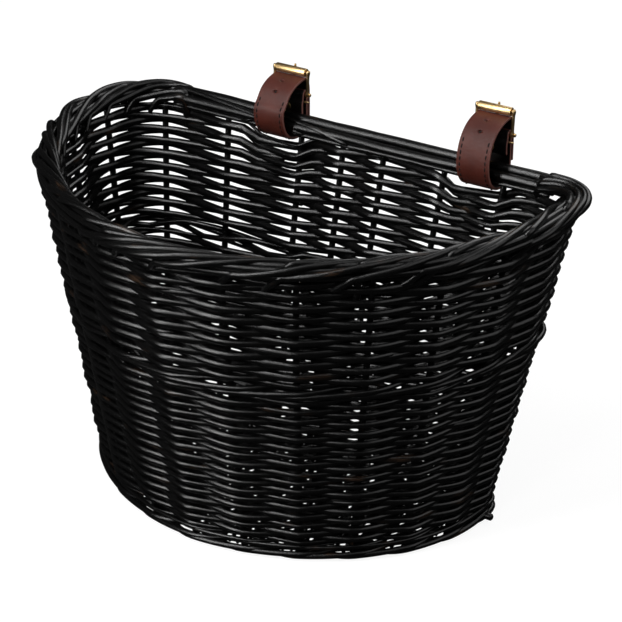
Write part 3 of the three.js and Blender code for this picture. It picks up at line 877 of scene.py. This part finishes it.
def punch(start, end, radius, sides=32):
    """A cylinder to cut a round hole with, not along x. In metres."""
    start, end = Vector(start), Vector(end)
    axis = (end - start).normalized()
    u = axis.cross(Vector((1, 0, 0))).normalized()
    v = axis.cross(u)
    turns = np.linspace(0, 2 * math.pi, sides, False)
    ring = [u * math.cos(a) * radius + v * math.sin(a) * radius for a in turns]
    vertices = [start + p for p in ring] + [end + p for p in ring]
    ends = [tuple(range(sides)), tuple(reversed(range(sides, 2 * sides)))]
    return vertices, ring_faces(2, sides, False) + ends


def block(centre, size):
    """A box to cut a slot with. Millimetres in, metres out."""
    half = np.array(size) / 2 * MM
    signs = [(sx, sy, sz) for sx in (-1, 1) for sy in (-1, 1) for sz in (-1, 1)]
    corners = [centre * MM + half * np.array(sign) for sign in signs]
    faces = [(0, 1, 3, 2), (4, 6, 7, 5), (0, 4, 5, 1), (2, 3, 7, 6), (0, 2, 6, 4), (1, 5, 7, 3)]
    return corners, faces


def subtract(piece, cutters):
    """Cuts the closed meshes in `cutters` out of piece."""
    for vertices, faces in cutters:
        cutter = solid("cutter", vertices, faces, leather_edge)
        modifier = piece.modifiers.new("cut", "BOOLEAN")
        modifier.operation = "DIFFERENCE"
        modifier.solver = "EXACT"
        modifier.material_mode = "TRANSFER"
        modifier.object = cutter
        bpy.context.view_layer.update()
        cut = bpy.data.meshes.new_from_object(piece.evaluated_get(bpy.context.evaluated_depsgraph_get()))
        piece.modifiers.clear()
        piece.data = cut
        bpy.data.objects.remove(cutter)


def colour_leather(piece, line, section, heel):
    """Finished leather outside; the raw inside face and the whole fold, whose outer face is finished
    leather too, are near-black painted shade; paler cut edges.
    """
    piece.data.materials.append(painted_shade_leather)
    piece.data.materials.append(leather_edge)
    # The fold begins where the line is last above the heel pin.
    fold_ring = np.flatnonzero(line[:, 1] > heel + 2.1)[-1] - 1
    per_ring = len(section)
    flat = LEATHER / 2 - 0.14
    for i, polygon in enumerate(piece.data.polygons):
        ring, j = divmod(i, per_ring)
        if ring >= len(line) - 1:
            polygon.material_index = EDGE
            continue
        polygon.use_smooth = True
        across = (section[j][1] + section[(j + 1) % per_ring][1]) / 2
        if abs(across) <= flat:
            polygon.material_index = EDGE
        # Painted shade: the inside face and every face of the fold get the near-black leather.
        elif across > 0 or ring > fold_ring:
            polygon.material_index = PAINTED_SHADE
        else:
            polygon.material_index = FACE


def strap(side, at, half_width, rise):
    """The leather, with its holes and the slots for the prong. `rise` is the roller's height."""
    heel = rise - FRAME_LENGTH
    points = strap_line(rise, heel)
    line = smooth_path(points, 1.1)
    section = leather_section(half_width)
    vertices, faces = sweep(line, section)
    piece = solid(f"{side}_leather_strap", (vertices + at) * MM, faces, leather_face)
    colour_leather(piece, line, section, heel)
    lengths = lengths_along(line)
    roller_at = lengths[int(np.argmin(np.linalg.norm(line - points[UNDER_ROLLER], axis=1)))]
    cutters = []
    for distance in HOLES_AFTER_ROLLER:
        i = int(np.argmin(np.abs(lengths - roller_at - distance)))
        through = np.array([0, *normals(line)[i]]) * 4
        centre = at + (0, *line[i])
        cutters.append(punch((centre - through) * MM, (centre + through) * MM, HOLE_RADIUS * MM))
    inner, outer = (Vector(at + (0, y, heel - RIVET_BELOW_HEEL)) * MM for y in (-5, 6.5))
    cutters.append(punch(inner, outer, RIVET_HOLE_RADIUS * MM))
    # One slot for the eye of the prong round the heel pin, and one for its blade above.
    cutters.append(block(at + (0, 2, heel - 0.1), (4.2, 7.4, 9)))
    cutters.append(block(at + (0, 5.8, heel + 7.9), (3.2, 7, 7.2)))
    subtract(piece, cutters)
    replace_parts(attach(piece, f"{side}_strap_loop"), f"{side}_strap")
    stitching(side, line, lengths - roller_at, at, half_width)


STITCH_PITCH = 4.1
STITCH_LENGTH = 2.7
STITCH_INSET = 2.6
STITCH_FROM = 27.0  # after the roller
STITCH_SHORT = 38  # before the end of the fold
THREAD = 0.5


def stitching(side, line, lengths, at, half_width):
    """Two rows of dark thread, sunk in the face of the leather, from below the holes to the heel."""
    rods = Rods(8)
    rng = np.random.default_rng(51)
    normal = normals(line)
    for x in (-half_width + STITCH_INSET, half_width - STITCH_INSET):
        start = STITCH_FROM
        while start < lengths[-1] - STITCH_SHORT:
            along = np.linspace(start, start + STITCH_LENGTH, 7)
            y, z = (np.interp(along, lengths, line[:, k]) for k in range(2))
            away_y, away_z = (np.interp(along, lengths, normal[:, k]) for k in range(2))
            depth = -(LEATHER / 2 + 0.06 - 0.6 * np.abs(np.linspace(-1, 1, 7)) ** 3)
            path = np.stack([np.full(7, x), y + away_y * depth, z + away_z * depth], 1) + at
            rods.add(path, THREAD, (1, 0, 0), rng.uniform())
            start += STITCH_PITCH
    piece = rods.build(f"{side}_strap_stitching", thread)
    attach(piece, f"{side}_strap_loop")


def lathe(name, profile, centre, axis, sides):
    """Brass turned round a level axis through centre. The (radius, along) profile closes on itself."""
    centre, axis = Vector(centre) * MM, Vector(axis)
    u = axis.cross(Vector((0, 0, 1)))
    v = axis.cross(u)
    vertices = []
    for a in np.linspace(0, 2 * math.pi, sides, False):
        spoke = u * math.cos(a) + v * math.sin(a)
        vertices += [centre + (spoke * radius + axis * along) * MM for radius, along in profile]
    faces = ring_faces(sides, len(profile), True)
    piece = solid(name, vertices, faces, brass)
    piece.data.polygons.foreach_set("use_smooth", [True] * len(faces))
    piece.data.set_sharp_from_angle(angle=math.radians(40))
    return piece


def rounded(points, radius, steps=4):
    """The closed (radius, along) profile with its corners rounded off."""
    out = []
    count = len(points)
    for i in range(count):
        before, here, after = (np.array(points[(i + k) % count], float) for k in (-1, 0, 1))
        reach = min(radius, np.linalg.norm(before - here) / 2.01, np.linalg.norm(after - here) / 2.01)
        start = here + (before - here) / np.linalg.norm(before - here) * reach
        stop = here + (after - here) / np.linalg.norm(after - here) * reach
        for t in np.linspace(0, 1, steps):
            out.append(tuple((1 - t) ** 2 * start + 2 * t * (1 - t) * here + t * t * stop))
    return out


def finish_brass(piece, body, node):
    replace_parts(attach(piece, body), node)


def brass_rods(name, body, node, sides, *rods):
    """One piece of round rods, each given as its path, radius, outward direction and seed."""
    gathered = Rods(sides)
    for rod in rods:
        gathered.add(*rod)
    finish_brass(gathered.build(name, brass), body, node)


def along_x(x, centre):
    return np.stack([x, np.zeros(len(x)), np.zeros(len(x))], 1) + centre


def roller_tube(side, roller, half_length):
    tube = [(1.5, -half_length), (3.0, -half_length), (3.0, half_length), (1.5, half_length)]
    piece = lathe(f"{side}_brass_roller", rounded(tube, 0.35)[::-1], roller, (1, 0, 0), 64)
    finish_brass(piece, f"{side}_roller", f"{side}_buckle_roller")


def heel_pin(side, heel):
    """A short bar with a wider head at each end."""
    half_length = middle_and_half(f"{side}_heel_pin")[1]
    x = np.array([half_length, half_length - 0.9, half_length - 0.95])
    path = along_x(np.concatenate([-x, x[::-1]]), heel)
    bar = (path, [1.25, 1.25, 0.95, 0.95, 1.25, 1.25], (0, 0, 1), 0.4)
    brass_rods(f"{side}_brass_heel_pin", f"{side}_strap_loop", f"{side}_heel_pin", 20, bar)


def fold_pin(side):
    """A thin wire with pointed ends."""
    centre, half_length = middle_and_half(f"{side}_fold_pin")
    x = np.linspace(-half_length, half_length, 24)
    radius = 0.82 * np.clip((half_length - np.abs(x)) / 2.2, 0.25, 1) ** 0.5
    wire = (along_x(x, centre), radius, (0, 0, 1), 0.5)
    brass_rods(f"{side}_brass_fold_pin", f"{side}_strap_loop", f"{side}_fold_pin", 16, wire)


def buckle_frame(side, heel, roller):
    """Two side bars with round ends, joined by the axle that the roller turns on."""
    bar_x = middle_and_half(f"{side}_buckle_frame")[1] - 0.9
    steps = np.linspace(-0.09, 1.09, 26)
    swell = 1 + 0.35 * np.exp(-((steps / 0.10) ** 2)) + 0.35 * np.exp(-(((steps - 1) / 0.10) ** 2))
    down = (heel - roller) * steps[:, None]
    bars = [(roller + (x, 0, 0) + down, BAR_RADIUS * swell, (1, 0, 0), 0.2) for x in (-bar_x, bar_x)]
    axle = (along_x(np.linspace(-bar_x, bar_x, 12), roller), BAR_RADIUS, (0, 0, 1), 0.6)
    brass_rods(f"{side}_brass_frame", f"{side}_buckle", f"{side}_buckle_frame", 20, *bars, axle)


def prong(side, heel):
    """An eye bent round the heel pin, and a blade that leans on the roller."""
    turns = np.linspace(math.radians(40), math.radians(380), 30)
    ring = np.stack([np.zeros(30), 1.9 * np.cos(turns), 1.9 * np.sin(turns)], 1)
    blade = smooth_path([(0, 0.6, 2.2), (0, 1.5, 6), (0, 3.7, 10.2), (0, 5.4, 13.2), (0, 5.8, 18.2)], 0.8)
    eye = (ring + heel, 0.78, (1, 0, 0), 0.1)
    blade = (blade + heel, np.linspace(1.0, 0.78, len(blade)), (1, 0, 0), 0.7)
    brass_rods(f"{side}_brass_prong", f"{side}_prong", f"{side}_buckle_prong", 14, eye, blade)


def rivet(side, at, heel):
    """A tube through both layers of the fold, with a rim on each side."""
    front, back = -1.6 - LEATHER / 2 - 0.15, 4.2 + LEATHER / 2 + 0.15
    inner_rim = [(1.0, front - 0.7), (3.1, front - 0.55), (3.1, front), (1.6, front)]
    outer_rim = [(1.6, back), (3.1, back), (3.1, back + 0.55), (1.0, back + 0.7)]
    centre = (at[0], at[1], heel[2] - RIVET_BELOW_HEEL)
    piece = lathe(f"{side}_brass_rivet", rounded(inner_rim + outer_rim, 0.3), centre, (0, 1, 0), 48)
    finish_brass(piece, f"{side}_strap_loop", f"{side}_rivet")


# A strap's line is drawn from `at`, at the back and the top of the border.
for side in ("left", "right"):
    strap_middle, half_width = middle_and_half(f"{side}_strap")
    roller, roller_half = middle_and_half(f"{side}_buckle_roller")
    at = np.array([strap_middle[0], RIM_BACK, HEIGHT])
    heel = np.array([at[0], at[1] + 2, roller[2] - FRAME_LENGTH])
    strap(side, at, half_width, roller[2] - HEIGHT)
    roller_tube(side, roller, roller_half)
    buckle_frame(side, heel, roller)
    heel_pin(side, heel)
    fold_pin(side)
    prong(side, heel)
    rivet(side, at, heel)

# ---- floor, light and camera


def surroundings(seen, lighting):
    """A white world of one strength to the camera, and of another to light the basket."""
    world = bpy.data.worlds.new("studio")
    world.use_nodes = True
    tree = world.node_tree
    background = tree.nodes["Background"]
    path = tree.nodes.new("ShaderNodeLightPath")
    mix = tree.nodes.new("ShaderNodeMapRange")
    mix.inputs["To Min"].default_value = lighting
    mix.inputs["To Max"].default_value = seen
    tree.links.new(path.outputs["Is Camera Ray"], mix.inputs["Value"])
    tree.links.new(mix.outputs[0], background.inputs["Strength"])
    background.inputs["Color"].default_value = (1, 1, 1, 1)
    bpy.context.scene.world = world


def floor_material():
    """Pale and even to the camera, with only a faint shadow, and dim to the underside of the basket."""
    s = Shader("pale_floor")
    path = s.node("ShaderNodeLightPath")
    colour = s.mix(path.outputs["Is Camera Ray"], (0.03, 0.03, 0.03), (0.2, 0.2, 0.2))
    s.set(Base_Color=colour, Roughness=0.9, Specular_IOR_Level=0.0)
    s.set(Emission_Color=(1, 1, 1))
    s.set(Emission_Strength=s.math("MULTIPLY", path.outputs["Is Camera Ray"], 0.9))
    return s.material


def direction(azimuth, elevation):
    """From the basket, in degrees: azimuth 0 is in front and 90 to the right."""
    a, e = math.radians(azimuth), math.radians(elevation)
    return Vector((math.sin(a) * math.cos(e), -math.cos(a) * math.cos(e), math.sin(e)))


def area_light(name, azimuth, elevation, distance, width, height, power):
    """A softbox aimed at the middle of the basket."""
    lamp = bpy.data.lights.new(name, "AREA")
    lamp.shape = "RECTANGLE"
    lamp.size, lamp.size_y = width, height
    lamp.energy = power
    made = bpy.data.objects.new(name, lamp)
    away = direction(azimuth, elevation)
    made.location = Vector((0, 0, 0.13)) + away * distance
    made.rotation_mode = "QUATERNION"
    made.rotation_quaternion = away.to_track_quat("Z", "Y")
    bpy.context.scene.collection.objects.link(made)


surroundings(seen=1.0, lighting=0.02)
bpy.ops.mesh.primitive_plane_add(size=8.0, location=(0, 0, 0))
floor = bpy.context.object
floor.name = "floor"
floor.data.materials.append(floor_material())

# Azimuth and elevation in degrees, distance, width and height in metres, and watts. The key is a tall
# narrow strip, which gives the short bright strokes on the rods that face it.
LIGHTS = (
    ("key", -27, 36, 2.0, 0.36, 3.0, 40),
    ("front", 6, 36, 2.0, 0.4, 0.8, 5),
    ("right_fill", 102, 34, 2.6, 2.6, 2.0, 15),
    ("overhead", 30, 82, 2.2, 1.6, 1.6, 8),
    ("back_fill", 178, 40, 2.4, 1.8, 1.2, 14),
)
for light in LIGHTS:
    area_light(*light)

CAMERA_AZIMUTH = 33.96
CAMERA_ELEVATION = 27.52
CAMERA_DISTANCE = 1.5
PIVOT = Vector((0, 0.015, 0.120))  # the point that the distance is from
AIM = Vector((0.0211, 0.0359, 0.1307))
FOCAL_LENGTH = 129.4
SENSOR_WIDTH = 36

lens = bpy.data.cameras.new("camera")
lens.lens = FOCAL_LENGTH
lens.sensor_width = SENSOR_WIDTH
camera = bpy.data.objects.new("camera", lens)
bpy.context.scene.collection.objects.link(camera)
camera.location = PIVOT + direction(CAMERA_AZIMUTH, CAMERA_ELEVATION) * CAMERA_DISTANCE
camera.rotation_mode = "QUATERNION"
camera.rotation_quaternion = (AIM - camera.location).to_track_quat("-Z", "Y")
bpy.context.scene.camera = camera
bpy.context.scene.view_settings.view_transform = "Standard"
